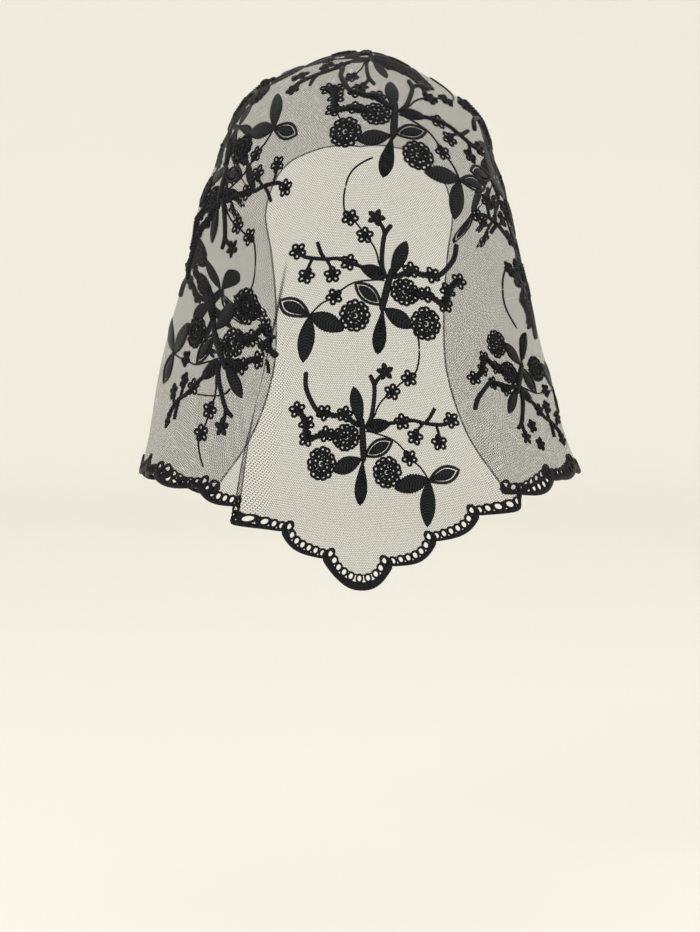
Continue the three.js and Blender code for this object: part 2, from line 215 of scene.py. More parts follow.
def vector_node(tree, operation, *inputs):
    """A Vector Math node on triples or sockets; returns its result."""
    node = tree.nodes.new("ShaderNodeVectorMath")
    node.operation = operation
    for socket, value in zip(node.inputs, inputs):
        if isinstance(value, (tuple, list)):
            socket.default_value = value
        else:
            tree.links.new(value, socket)
    return node.outputs["Value" if operation in ("LENGTH", "DOT_PRODUCT") else "Vector"]


def new_group(name, inputs, outputs):
    """A shader node group with named inputs and outputs: (name, socket type, value)."""
    tree = bpy.data.node_groups.new(name, "ShaderNodeTree")
    for title, kind, value in inputs:
        socket = tree.interface.new_socket(title, in_out="INPUT", socket_type=kind)
        if value is not None:
            socket.default_value = value
    for title, kind in outputs:
        tree.interface.new_socket(title, in_out="OUTPUT", socket_type=kind)
    return tree, tree.nodes.new("NodeGroupInput"), tree.nodes.new("NodeGroupOutput")


def place_group(tree, group, **values):
    node = tree.nodes.new("ShaderNodeGroup")
    node.node_tree = group
    for title, value in values.items():
        socket = node.inputs[title.replace("_", " ")]
        if isinstance(value, bpy.types.NodeSocket):
            tree.links.new(value, socket)
        else:
            socket.default_value = value
    return node


def new_material(name, colour, roughness):
    material = bpy.data.materials.new(name)
    material.use_nodes = True
    shader = material.node_tree.nodes["Principled BSDF"]
    shader.inputs["Base Color"].default_value = colour
    shader.inputs["Roughness"].default_value = roughness
    return material, material.node_tree, shader


def uv_of(tree):
    node = tree.nodes.new("ShaderNodeUVMap")
    node.uv_map = "Flat"
    return node.outputs["UV"]


# Hexagonal net: 1 on a thread and 0 in a hole. A loom pulls the net unevenly and its meshes
# stretch a little, so the place is shifted by a slow noise first.
PULL_SCALE = 0.03
PULL_SHIFT = 5.0
ROOT3 = math.sqrt(3)
net_group, net_in, net_out = new_group(
    "hexagonal net",
    (("Vector", "NodeSocketVector", None), ("Cell", "NodeSocketFloat", 1.5),
     ("Thread", "NodeSocketFloat", 0.25)),
    (("Thread Mask", "NodeSocketFloat"), ("Tone", "NodeSocketFloat")),
)
pull = net_group.nodes.new("ShaderNodeTexNoise")
pull.inputs["Scale"].default_value = PULL_SCALE
link(net_group, net_in.outputs["Vector"], pull.inputs["Vector"])
shift = vector_node(net_group, "SUBTRACT", pull.outputs["Color"], (0.5, 0.5, 0.5))
scaled_shift = net_group.nodes.new("ShaderNodeVectorMath")
scaled_shift.operation = "SCALE"
scaled_shift.inputs["Scale"].default_value = PULL_SHIFT
link(net_group, shift, scaled_shift.inputs[0])
pulled = vector_node(net_group, "ADD", net_in.outputs["Vector"], scaled_shift.outputs["Vector"])
per_cell = net_group.nodes.new("ShaderNodeVectorMath")
per_cell.operation = "SCALE"
link(net_group, pulled, per_cell.inputs[0])
cells_in_unit = math_node(net_group, "DIVIDE", 1.0, net_in.outputs["Cell"])
link(net_group, cells_in_unit, per_cell.inputs["Scale"])


def cell_offset(start):
    """The place within its mesh, on a lattice of meshes that begins at start."""
    moved = vector_node(net_group, "ADD", per_cell.outputs["Vector"], start)
    wrapped = net_group.nodes.new("ShaderNodeVectorMath")
    wrapped.operation = "WRAP"
    link(net_group, moved, wrapped.inputs[0])
    wrapped.inputs[1].default_value = (0.5, ROOT3 / 2, 1.0)
    wrapped.inputs[2].default_value = (-0.5, -ROOT3 / 2, -1.0)
    flatten = vector_node(net_group, "MULTIPLY", wrapped.outputs["Vector"], (1.0, 1.0, 0.0))
    return vector_node(net_group, "ABSOLUTE", flatten)


def edge_distance(offset):
    """How far inside its hexagon a place lies, in meshes."""
    slanted = vector_node(net_group, "DOT_PRODUCT", offset, (0.5, ROOT3 / 2, 0.0))
    straight = vector_node(net_group, "DOT_PRODUCT", offset, (1.0, 0.0, 0.0))
    farthest = math_node(net_group, "MAXIMUM", slanted, straight)
    return math_node(net_group, "SUBTRACT", 0.5, farthest)


inside = math_node(
    net_group, "MAXIMUM",
    edge_distance(cell_offset((0.0, 0.0, 0.0))),
    edge_distance(cell_offset((0.5, ROOT3 / 2, 0.0))),
)
half_thread = math_node(
    net_group, "DIVIDE", math_node(net_group, "MULTIPLY", net_in.outputs["Thread"], 0.5),
    net_in.outputs["Cell"],
)
on_thread = math_node(net_group, "LESS_THAN", inside, half_thread)
link(net_group, on_thread, net_out.inputs["Thread Mask"])
link(net_group, pull.outputs["Fac"], net_out.inputs["Tone"])

tulle, tulle_tree, tulle_shader = new_material("black tulle", NET_COLOUR, 0.55)
tulle_shader.inputs["Specular IOR Level"].default_value = 0.2

# Pressed pleat: the net is doubled and its threads crowd along the pleat's two edges, which
# start as one crease and part towards the hem.
PLEAT_START, PLEAT_HEM = math.radians(FOLDS[0][0]), math.radians(FOLDS[0][1])
PLEAT_TOP = FOLDS[0][2]
PLEAT_PARTS_FROM = 0.45
PLEAT_PARTS_OVER = 0.4
PLEAT_FADE_IN = 5.0
CREASE_OFFSET = 4.5
CREASE_SPREAD = 3.1
CREASE_WIDTH = 1.0
CROWDED_THREAD = 0.85


def held_between_0_and_1(tree, value):
    return math_node(tree, "MINIMUM", math_node(tree, "MAXIMUM", value, 0.0), 1.0)


flat_place = tulle_tree.nodes.new("ShaderNodeSeparateXYZ")
link(tulle_tree, uv_of(tulle_tree), flat_place.inputs[0])
below = math_node(tulle_tree, "MULTIPLY", flat_place.outputs["Y"], -1.0)
bearing = math_node(tulle_tree, "ARCTAN2", flat_place.outputs["X"], below)
along = vector_node(tulle_tree, "LENGTH", uv_of(tulle_tree))
down_pleat = held_between_0_and_1(tulle_tree, math_node(
    tulle_tree, "DIVIDE", math_node(tulle_tree, "SUBTRACT", along, PLEAT_TOP),
    FOLD_REACH - PLEAT_TOP,
))
pleat_bearing = math_node(
    tulle_tree, "ADD", math_node(tulle_tree, "MULTIPLY", down_pleat, PLEAT_HEM - PLEAT_START),
    PLEAT_START,
)
beside = math_node(
    tulle_tree, "MULTIPLY", math_node(tulle_tree, "SUBTRACT", bearing, pleat_bearing), along
)
past_parting = math_node(tulle_tree, "SUBTRACT", down_pleat, PLEAT_PARTS_FROM)
parted = math_node(tulle_tree, "SQRT", held_between_0_and_1(
    tulle_tree, math_node(tulle_tree, "DIVIDE", past_parting, PLEAT_PARTS_OVER)))
from_middle = math_node(
    tulle_tree, "ABSOLUTE", math_node(tulle_tree, "ADD", beside, CREASE_OFFSET)
)
from_edge = math_node(
    tulle_tree, "DIVIDE", math_node(
        tulle_tree, "SUBTRACT", from_middle,
        math_node(tulle_tree, "MULTIPLY", parted, CREASE_SPREAD)),
    CREASE_WIDTH,
)
pressed = math_node(tulle_tree, "EXPONENT", math_node(
    tulle_tree, "MULTIPLY", math_node(tulle_tree, "MULTIPLY", from_edge, from_edge), -1.0))
fade_in = math_node(
    tulle_tree, "MINIMUM", math_node(tulle_tree, "MULTIPLY", down_pleat, PLEAT_FADE_IN), 1.0
)
crease = math_node(tulle_tree, "MULTIPLY", pressed, fade_in)
crowded = math_node(
    tulle_tree, "ADD", math_node(tulle_tree, "MULTIPLY", crease, CROWDED_THREAD), NET_THREAD
)
net = place_group(tulle_tree, net_group, Vector=uv_of(tulle_tree), Cell=NET_CELL, Thread=crowded)
link(tulle_tree, net.outputs["Thread Mask"], tulle_shader.inputs["Alpha"])
thread_tone = tulle_tree.nodes.new("ShaderNodeValToRGB")
thread_tone.color_ramp.elements[0].color = (0.008, 0.008, 0.009, 1)
thread_tone.color_ramp.elements[0].position = 0.3
thread_tone.color_ramp.elements[1].color = (0.020, 0.019, 0.018, 1)
thread_tone.color_ramp.elements[1].position = 0.7
link(tulle_tree, net.outputs["Tone"], thread_tone.inputs["Fac"])
link(tulle_tree, thread_tone.outputs["Color"], tulle_shader.inputs["Base Color"])

# The hem's line, rounded at the back point. The scallop at the point reaches a little further
# to the left of it, the rest are alike, and the braid's upper cord hangs in each.
SCALLOPS = 9
FIRST_SCALLOPS = (28.0, 20.5)
POINT_PART = 0.45
POINT_ROUNDING = 12.0
HEM_SAMPLES = 1201
POINT_SAMPLES = 31
WAY_SAMPLES = 11
SAG = 3.4
SAG_BEGINS, SAG_FADES = (12, 40), (130, 200)
CORD_REST = 1.2
CORD_HANG = 3.2
CORD_HANG_SKEW = 1.2
CORD_RAISE = 2.6
CORD_RAISED_AT = (0.7, 0.95)
POINT_RAISE = 2.4
POINT_RAISE_REACH = 14.0
hem_places, hem_run = curve_through(HEM_LINE, HEM_RAYS)
front_places, _ = curve_through(FRONT_LINE, FRONT_RAYS)
HEM_LENGTH = hem_run[-1]


def running_mean(places, samples):
    """Places along a line, each the mean of the samples round it."""
    kernel = np.ones(samples) / samples
    return np.stack(
        [np.convolve(np.pad(w, samples // 2, "edge"), kernel, "valid") for w in places.T], axis=1
    )


def hem_at(run, outward=0.0):
    """A flat place on the hem (y up), run millimetres right of the back point or left of it,
    moved outward from the net."""
    runs = np.linspace(-HEM_LENGTH, HEM_LENGTH, HEM_SAMPLES)
    line = np.stack(
        [
            np.sign(runs) * np.interp(np.abs(runs), hem_run, hem_places[:, 0]),
            -np.interp(np.abs(runs), hem_run, hem_places[:, 1]),
        ],
        axis=1,
    )
    point = np.exp(-((runs / POINT_ROUNDING) ** 4))[:, None]
    line = line + (running_mean(line, POINT_SAMPLES) - line) * point
    ways = running_mean(np.gradient(line, axis=0), WAY_SAMPLES)
    ways /= np.linalg.norm(ways, axis=1, keepdims=True)
    run, outward = np.broadcast_arrays(np.asarray(run, float), np.asarray(outward, float))
    place = np.stack([np.interp(run, runs, line[:, axis]) for axis in (0, 1)], axis=-1)
    way = np.stack([np.interp(run, runs, ways[:, axis]) for axis in (0, 1)], axis=-1)
    return place + np.stack((way[..., 1], -way[..., 0]), axis=-1) * outward[..., None]


def scallop_part(run):
    """How far along its scallop a place on the hem is: 0 at the end nearer the back point, which
    itself is the middle of one scallop."""
    first = np.where(np.asarray(run) < 0, FIRST_SCALLOPS[0], FIRST_SCALLOPS[1])
    pitch = (HEM_LENGTH - first) / (SCALLOPS - 1)
    beyond = np.abs(run) - first
    return np.where(beyond < 0, 1 + (1 - POINT_PART) * beyond / first, (beyond / pitch) % 1.0)


def right_sag(run):
    """The hem hangs a little lower right of the back point."""
    run = np.asarray(run, float)
    return SAG * smooth(run, *SAG_BEGINS) * (1 - smooth(run, *SAG_FADES))


def upper_cord_offset(run):
    """How far outside the cut line the braid's upper cord lies: it hangs in the middle of each
    scallop and is raised at the outer end."""
    part = scallop_part(run)
    hang = CORD_REST + CORD_HANG * np.sin(math.pi * part**CORD_HANG_SKEW)
    at_point = np.exp(-((np.asarray(run) / POINT_RAISE_REACH) ** 2))
    hang = hang - CORD_RAISE * smooth(part, *CORD_RAISED_AT)
    return right_sag(run) + hang - POINT_RAISE * at_point


hem_runs = np.concatenate((hem_run, -hem_run[1:][::-1]))
hem_edge = hem_at(hem_runs, upper_cord_offset(hem_runs))
right_hem, left_hem = hem_edge[: len(hem_run)], hem_edge[len(hem_run):]
front_up = front_places * (1, -1)
outline = np.vstack((right_hem, front_up[1:], front_up[1:-1][::-1] * (-1, 1), left_hem))

ground = bmesh.new()
bmesh.ops.create_grid(ground, x_segments=len(outline), y_segments=NET_RINGS, size=0.5)
for vert in ground.verts:
    ray = round((vert.co.x + 0.5) * len(outline)) % len(outline)
    part = vert.co.y + 0.5
    vert.co = (outline[ray][0] * part, outline[ray][1] * part, 0)
bmesh.ops.remove_doubles(ground, verts=ground.verts, dist=1e-3)
if sum(face.normal.z * face.calc_area() for face in ground.faces) < 0:
    bmesh.ops.reverse_faces(ground, faces=ground.faces)
flat_map = ground.loops.layers.uv.new("Flat")
for face in ground.faces:
    for corner in face.loops:
        corner[flat_map].uv = corner.vert.co.xy
NET_AREA = sum(face.calc_area() for face in ground.faces) / 1e6
net_mesh = bpy.data.meshes.new("tulle_net")
ground.to_mesh(net_mesh)
ground.free()
tulle_net = wear("tulle_net", net_mesh, tulle)
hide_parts("net_veil")

# Hem braid: a ladder braid of rayon cord, sewn to the edge of the net. A row of cord loops hangs
# from a thin upper cord, and a padded satin band below them makes the scallops. Each scallop's
# outer end has a raised loop and a solid joint, and the braid ends at the two front corners.
UPPER_CORD = 0.45
UPPER_CORD_OUT = 0.5
UPPER_CORD_STOPS = 1297
LOOP_CORD = 0.8
LOOP_CORD_THINNING = 0.08
LOOP_OVERLAP = 0.3
LOOP_HEIGHT = 4.8
LOOPS_IN_SCALLOP = 7
LOOP_HALF_WIDTH = 0.41
LOOP_WIDENING = 0.06
FULL_SCALLOP = 33
OUTER_END_REACH = 12
BAND_EDGE = 7.0
BAND_SWELL = 5.2
BAND_THIN = 1.7
BAND_SWELL_SKEW, BAND_SWELL_ROUNDING = 1.25, 0.8
BAND_HALF_HEIGHT = 1.3
BAND_LAP = 0.03
BAND_STOPS, POINT_BAND_STOPS = 25, 33
RAISED_LOOP_LENGTH, RAISED_LOOP_WIDTH, RAISED_LOOP_CORD = 2.9, 2.1, 0.85
RAISED_LOOP_OUT = 2.0
RAISED_LOOP_IN = 0.55
JOINT_HALF_WIDTHS = (0, 1.1, 1.5, 1.7, 1.5, 0)
JOINT_HALF_HEIGHTS = (0, 0.8, 0.9, 0.9, 0.8, 0)
JOINT_OUT, LAST_JOINT_IN = 0.4, 1.2
JOINT_END = 0.8
CORD_ROUNDING = 0.4
CORD_END_SHARE = 0.9
GROOVE_SHARE = 0.3


def new_form():
    """An empty bmesh for thread work laid out flat, with its threads' UV and element numbers."""
    form = bmesh.new()
    form.loops.layers.uv.new("Flat")
    form.verts.layers.int.new("element")
    return form


def swept(form, path, widths, heights, sides=6, closed=False, base=0.0, belly=1.0,
          groove=0.0, chevron=False, element=0):
    """Adds a cord or padded strip along flat places: a grid rolled up round the path. widths
    and heights are its half sizes at each place, belly is the share of the height that lies
    under its base and groove is the depth of a furrow along its top."""
    path = np.asarray(path, float)
    widths = np.broadcast_to(np.asarray(widths, float), len(path))
    heights = np.broadcast_to(np.asarray(heights, float), len(path))
    count = len(path) if closed else len(path) - 1
    if closed:
        ways = np.roll(path, -1, axis=0) - np.roll(path, 1, axis=0)
    else:
        ways = np.gradient(path, axis=0)
    ways /= np.maximum(np.linalg.norm(ways, axis=1, keepdims=True), 1e-9)
    steps = np.linalg.norm(np.roll(path, -1, axis=0) - path, axis=1)
    run = np.concatenate(([0], np.cumsum(steps)))
    uv = form.loops.layers.uv["Flat"]
    number = form.verts.layers.int["element"]
    strip = bmesh.ops.create_grid(form, x_segments=count, y_segments=sides, size=0.5)["verts"]
    marks = {}
    for vert in strip:
        stop = round((vert.co.x + 0.5) * count)
        angle = 2 * math.pi * (vert.co.y + 0.5)
        here = stop % len(path)
        wide, high = widths[here], heights[here]
        off, rise = wide * math.cos(angle), math.sin(angle)
        if rise > 0:
            rise -= groove * math.exp(-((off / max(wide, 1e-6) / GROOVE_SHARE) ** 2))
        else:
            rise *= belly
        round_it = -abs(off) if chevron else angle * (wide + high) / 2
        marks[vert] = (run[stop], round_it)
        vert.co = (
            path[here][0] - ways[here][1] * off,
            path[here][1] + ways[here][0] * off,
            base + high * rise,
        )
        vert[number] = element
    for face in {face for vert in strip for face in vert.link_faces}:
        for corner in face.loops:
            corner[uv].uv = marks[corner.vert]
    bmesh.ops.remove_doubles(form, verts=strip, dist=2e-3)


def cord(form, places, radius, sides=6, spacing=1.4, knots=0.0, knot_run=1.9, **how):
    """Adds a round thread cord on a smooth curve through flat places, with rounded ends and,
    where it is knotted, a bump at every knot."""
    length = np.linalg.norm(np.diff(np.array(places, float), axis=0), axis=1).sum()
    path, at = curve_through(places, max(4, round(length / spacing)))
    radii = radius * (1 + knots * np.cos(2 * math.pi * at / knot_run))
    radii[[0, -1]] = 0
    radii[[1, -2]] *= CORD_END_SHARE
    path[1] = path[0] + (path[1] - path[0]) * CORD_ROUNDING
    path[-2] = path[-1] + (path[-2] - path[-1]) * CORD_ROUNDING
    swept(form, path, radii, radii, sides, **how)


def ring(form, centre, radial, tangential, radius, turn=0.0, stops=8, sides=4, **how):
    """Adds a closed loop of cord, long by radial in the direction of turn."""
    angles = np.arange(stops) * 2 * math.pi / stops
    x, y = radial * np.cos(angles), tangential * np.sin(angles)
    path = np.stack(
        (centre[0] + x * math.cos(turn) - y * math.sin(turn),
         centre[1] + x * math.sin(turn) + y * math.cos(turn)), axis=1,
    )
    swept(form, path, radius, radius, sides, closed=True, **how)


def knot(form, centre, radius, height, base=0.0, element=0):
    """Adds a small domed knot of thread."""
    uv = form.loops.layers.uv["Flat"]
    number = form.verts.layers.int["element"]
    place = Matrix.Translation((*centre, base)) @ Matrix.Diagonal((radius, radius, height, 1))
    made = bmesh.ops.create_uvsphere(form, u_segments=7, v_segments=4, radius=1, matrix=place)
    for vert in made["verts"]:
        vert[number] = element
        for corner in vert.link_loops:
            corner[uv].uv = (vert.co.x, vert.co.y * 0.5)


def finish_form(form, name):
    """Turns every closed form of a bmesh outward and makes it a mesh."""
    bmesh.ops.recalc_face_normals(form, faces=form.faces)
    mesh = bpy.data.meshes.new(name)
    form.to_mesh(mesh)
    form.free()
    return mesh


# Wound thread: fine ridges slanting across each cord or satin form, uneven in height and laid in
# bundles. The tone is painted light: a painted highlight along each bundle's crest and each ridge
# top, painted shade where the thread lies deep, and an uneven random tone over it.
LOOSE_SCALE = 0.9
WANDER = 0.5
STRAND_SCALE = 1.3
UNEVEN_BASE = 0.4
RIDGE_SHEEN_SHARE = 0.35
BUNDLE_PITCH = 1.9
BUNDLE_RELIEF = 1.3
THREAD_SPECULAR = 0.12
THREAD_BUMP_DISTANCE = 0.0003
thread_group, thread_in, thread_out = new_group(
    "wound thread",
    (("Vector", "NodeSocketVector", None), ("Pitch", "NodeSocketFloat", 0.5),
     ("Slant", "NodeSocketFloat", 0.5)),
    (("Height", "NodeSocketFloat"), ("Tone", "NodeSocketFloat")),
)
split = thread_group.nodes.new("ShaderNodeSeparateXYZ")
link(thread_group, thread_in.outputs["Vector"], split.inputs[0])
slanted_run = math_node(
    thread_group, "ADD", split.outputs["X"],
    math_node(thread_group, "MULTIPLY", split.outputs["Y"], thread_in.outputs["Slant"]),
)
loose = thread_group.nodes.new("ShaderNodeTexNoise")
loose.inputs["Scale"].default_value = LOOSE_SCALE
loose.inputs["Detail"].default_value = 3.0
link(thread_group, thread_in.outputs["Vector"], loose.inputs["Vector"])
wander = math_node(
    thread_group, "ADD", slanted_run,
    math_node(thread_group, "MULTIPLY", loose.outputs["Fac"], WANDER),
)
phase = math_node(
    thread_group, "DIVIDE", math_node(thread_group, "MULTIPLY", wander, 2 * math.pi),
    thread_in.outputs["Pitch"],
)
ridge = math_node(thread_group, "ABSOLUTE", math_node(
    thread_group, "SINE", math_node(thread_group, "MULTIPLY", phase, 0.5)))
strand = thread_group.nodes.new("ShaderNodeTexNoise")
strand.noise_dimensions = "1D"
strand.inputs["Scale"].default_value = STRAND_SCALE
link(thread_group, wander, strand.inputs["W"])
bundle = math_node(thread_group, "ABSOLUTE", math_node(thread_group, "SINE", math_node(
    thread_group, "MULTIPLY", wander, math.pi / BUNDLE_PITCH)))
fine_height = math_node(thread_group, "MULTIPLY", ridge, math_node(
    thread_group, "ADD", strand.outputs["Fac"], UNEVEN_BASE))
link(thread_group, math_node(thread_group, "ADD", fine_height, math_node(
    thread_group, "MULTIPLY", bundle, BUNDLE_RELIEF)), thread_out.inputs["Height"])
# Painted highlight on each bundle's crest, with painted shade between the bundles.
crest_highlight = math_node(thread_group, "POWER", bundle, 2.0)
# Painted highlight on each ridge top, then made uneven at random.
ridge_highlight = math_node(
    thread_group, "ADD", math_node(thread_group, "MULTIPLY", ridge, RIDGE_SHEEN_SHARE), 1 - RIDGE_SHEEN_SHARE
)
patchy_highlight = math_node(thread_group, "MULTIPLY", ridge_highlight, math_node(
    thread_group, "ADD", loose.outputs["Fac"], UNEVEN_BASE))
link(thread_group, math_node(
    thread_group, "MULTIPLY", crest_highlight, patchy_highlight), thread_out.inputs["Tone"])


def thread_material(name, dark, light, roughness, pitch, slant, relief):
    """A material of wound rayon thread with its dark colour, a painted highlight colour, gloss,
    pitch and slant.
    """
    material, tree, shader = new_material(name, dark, roughness)
    shader.inputs["Specular IOR Level"].default_value = THREAD_SPECULAR
    threads = place_group(tree, thread_group, Vector=uv_of(tree), Pitch=pitch, Slant=slant)
    # The base colour runs from the thread's dark colour to the painted highlight colour where the
    # tone is high.
    tone = tree.nodes.new("ShaderNodeValToRGB")
    tone.color_ramp.elements[0].color = dark
    tone.color_ramp.elements[1].color = light
    link(tree, threads.outputs["Tone"], tone.inputs["Fac"])
    link(tree, tone.outputs["Color"], shader.inputs["Base Color"])
    bump = tree.nodes.new("ShaderNodeBump")
    bump.inputs["Strength"].default_value = relief
    bump.inputs["Distance"].default_value = THREAD_BUMP_DISTANCE
    link(tree, threads.outputs["Height"], bump.inputs["Height"])
    link(tree, bump.outputs["Normal"], shader.inputs["Normal"])
    return material


# The light colour is the painted highlight on the cord's crests and ridges.
braid_cord = thread_material(
    "braid cord", dark=(0.0010, 0.0010, 0.0012, 1), light=(0.020, 0.021, 0.023, 1),
    roughness=0.42, pitch=0.8, slant=0.9, relief=0.8,
)


def band_edges(run):
    """The inner and outer edges of the satin band, outward from the cut line."""
    swell = np.sin(math.pi * np.clip(scallop_part(run), 0, 1) ** BAND_SWELL_SKEW)
    swell = swell ** BAND_SWELL_ROUNDING
    outer = right_sag(run) + BAND_EDGE + BAND_SWELL * swell
    return np.minimum(upper_cord_offset(run) + LOOP_HEIGHT, outer - BAND_THIN), outer


def outward_turn(run):
    """The direction outward from the hem, as an angle on the flat lace."""
    way = hem_at(run, 5) - hem_at(run, 0)
    return math.atan2(way[1], way[0])


braid = new_form()
cord_runs = np.linspace(-HEM_LENGTH, HEM_LENGTH, UPPER_CORD_STOPS)
cord_radii = np.full(len(cord_runs), UPPER_CORD)
cord_radii[[0, -1]] = 0
swept(
    braid, hem_at(cord_runs, upper_cord_offset(cord_runs) + UPPER_CORD_OUT), cord_radii,
    cord_radii, 6, base=0.25,
)
ends = [
    side * run
    for side, first in zip((-1, 1), FIRST_SCALLOPS)
    for run in np.linspace(first, HEM_LENGTH, SCALLOPS)[::side]
]
for start, stop in zip(ends[:-1], ends[1:]):
    whole = stop - start
    lap = BAND_LAP * whole
    low, high = max(start - lap, ends[0]), min(stop + lap, ends[-1])
    runs = np.linspace(low, high, POINT_BAND_STOPS if start < 0 < stop else BAND_STOPS)
    held = np.clip(runs, start + 1e-3, stop - 1e-3)
    inner, outer = band_edges(held)
    half = (outer - inner) / 2
    half[[0, -1]] = 0
    half[[1, -2]] *= 0.8
    swept(
        braid, hem_at(runs, (inner + outer) / 2), half, np.minimum(half, BAND_HALF_HEIGHT) * 0.8,
        8, base=0.1, belly=0.6, chevron=True,
    )
    farthest = max(abs(start), abs(stop))
    outer_ends = [end for end in (start, stop) if abs(end) >= farthest - OUTER_END_REACH]
    loops = round(LOOPS_IN_SCALLOP * whole / FULL_SCALLOP)
    pitch = whole / loops
    for number in range(loops):
        run = start + (number + 0.5) * pitch
        if any(abs(run - end) < pitch for end in outer_ends):
            continue
        part = float(scallop_part(run))
        top, bottom = upper_cord_offset(run), band_edges(run)[0] + LOOP_OVERLAP
        half_width = (LOOP_HALF_WIDTH + LOOP_WIDENING * part) * pitch
        loop_cord = LOOP_CORD * (1.05 - LOOP_CORD_THINNING * part)
        ring(
            braid, hem_at(run, (top + bottom) / 2), (bottom - top) / 2, half_width, loop_cord,
            turn=outward_turn(run), stops=12, sides=5, base=0.3,
        )
    for end in outer_ends:
        way_in = -1 if end > 0 else 1
        raised = end + way_in * RAISED_LOOP_IN * pitch
        ring(
            braid, hem_at(raised, upper_cord_offset(raised) + RAISED_LOOP_OUT),
            RAISED_LOOP_LENGTH, RAISED_LOOP_WIDTH, RAISED_LOOP_CORD,
            turn=outward_turn(raised), stops=14, sides=6, base=0.45,
        )
        if abs(end) < HEM_LENGTH - 1:
            joint = end - way_in * JOINT_OUT
        else:
            joint = end + way_in * LAST_JOINT_IN
        stops = len(JOINT_HALF_WIDTHS)
        reach = np.linspace(0.0, BAND_EDGE - JOINT_END, stops) + right_sag(joint)
        swept(
            braid, hem_at(np.full(stops, joint), reach), JOINT_HALF_WIDTHS, JOINT_HALF_HEIGHTS, 8,
            base=0.25,
        )
hem_braid = wear("hem_braid", finish_form(braid, "hem_braid"), braid_cord)
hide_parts("hem_trim")

# Front edge: the net's own edge, turned under once along the whole front, so it is plain and a
# little denser there. The stitches that hold it are too small to show.
TURNING = 0.55
TURNING_HEIGHT = 0.3
TURNING_STEPS = 160
TURNED_CELL, TURNED_THREAD = NET_CELL * 0.8, NET_THREAD * 1.3
turned, turned_tree, turned_shader = new_material("turned tulle edge", NET_COLOUR, 0.55)
turned_net = place_group(
    turned_tree, net_group, Vector=uv_of(turned_tree), Cell=TURNED_CELL, Thread=TURNED_THREAD
)
link(turned_tree, turned_net.outputs["Thread Mask"], turned_shader.inputs["Alpha"])
turning = new_form()
front_half, _ = curve_through(FRONT_LINE, TURNING_STEPS)
front_half = front_half * (1, -1)
front_line = np.vstack((front_half, front_half[:-1][::-1] * (-1, 1)))
pull_in = front_line * (1 - TURNING / np.linalg.norm(front_line, axis=1, keepdims=True))
fold_widths = np.full(len(pull_in), TURNING)
fold_widths[[0, -1]] = 0
swept(turning, pull_in, fold_widths, np.where(fold_widths > 0, TURNING_HEIGHT, 0), 4)
front_turning = wear("front_turning", finish_form(turning, "front_turning"), turned)
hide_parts("net_veil")

# Embroidered sprays: each is worked by machine in black rayon on the net, as padded satin
# leaves, corded roses, looped blossoms and wound stems. One motif is laid out here, x right
# and y up from its middle, and repeated plain, mirrored and turned.

# A leaf: how it is worked, its base, its tip, its width, and where it is widest.
LEAVES = (
    ("satin", (3.0, 10.0), (-2.2, 37.0), 8.6, 0.62),
    ("knotted", (3.9, -5.0), (1.8, -36.5), 8.8, 0.68),
    ("satin", (3.5, -7.5), (-16.2, -14.8), 10.8, 0.55),
    ("open", (5.2, -6.0), (23.0, 4.2), 10.8, 0.52),
    ("veined", (5.0, 11.2), (22.0, 14.6), 9.0, 0.45),
    ("serrated", (47.4, -17.3), (24.8, -25.4), 11.6, 0.50),
    ("open", (46.4, -18.8), (66.4, -8.6), 11.2, 0.58),
    ("ridged", (47.3, -17.8), (47.2, -47.2), 10.4, 0.52),
)
# A rose: its middle and its half sizes across and up. A blossom: its middle.
ROSES = ((-7.3, 5.6, 8.9, 8.3), (-23.4, -9.5, 9.4, 11.0), (19.9, -15.5, 9.6, 10.1))
BLOSSOMS = (
    (-37.9, 25.4), (-32.2, 16.2), (-32.5, 6.7), (-19.9, 8.4), (-21.0, 21.6), (-8.0, 20.0),
    (29.0, 16.2), (60.3, 21.5), (37.4, 7.6), (53.0, 6.3), (34.2, -5.6), (22.4, 34.0), (32.9, 43.4),
)
BLOSSOM_RADIUS = 5.3
STAR = (17.8, 46.2)
# A thick stem: how knotted it is, its radius and its places. A thin stem: its places.
THICK_STEMS = (
    (0.0, 1.55, ((-20, 21.2), (-24.4, 22.3), (-29.1, 29.9), (-32.1, 38.8), (-31.8, 48.3))),
    (0.0, 1.5, ((6.0, 12), (9.2, 18), (10.9, 28.3), (11.0, 37.7), (8.1, 44.2))),
    (0.0, 1.3, ((10.8, 36.5), (13.0, 41.0), (17.6, 46.0))),
    (0.16, 1.3, ((20, 14.4), (29, 16.2), (36, 17.6), (44, 16.7), (55.1, 17.7), (60.3, 21.5))),
    (0.16, 1.2, ((43.5, 16.9), (46.2, 20.4), (49.6, 27.2))),
    (0.16, 1.0, ((42.3, 16.4), (39.2, 12.2), (37.4, 7.6))),
    (0.16, 1.0, ((50.8, 16.6), (52.4, 11.5), (53.0, 6.3))),
    (0.2, 2.0, ((-37.9, 25.4), (-33.4, 18.1), (-32.5, 6.7), (-26.6, 7.3), (-19.7, 8.3), (-13, 6))),
    (0.2, 1.9, ((-21.0, 21.6), (-14.6, 19.3), (-8.0, 20.0), (-3.4, 15.4), (2.0, 12.5))),
)
THIN_STEMS = (
    ((5, 12), (10.7, 17.9), (13.6, 24.6), (18, 30.5), (22.4, 34), (27.1, 39.1), (32.8, 43.5),
     (36.8, 47.4), (38.2, 52), (38.9, 57), (38.8, 61.8)),
    ((38.8, 61.8), (38.2, 68), (35.6, 74), (31.0, 79), (26.0, 83)),
    ((5.5, 9.2), (11.2, 8.3), (23.2, 4.6), (30.6, -1.2), (35.2, -6.6), (41.2, -10.4), (47.2, -17.6)),
)
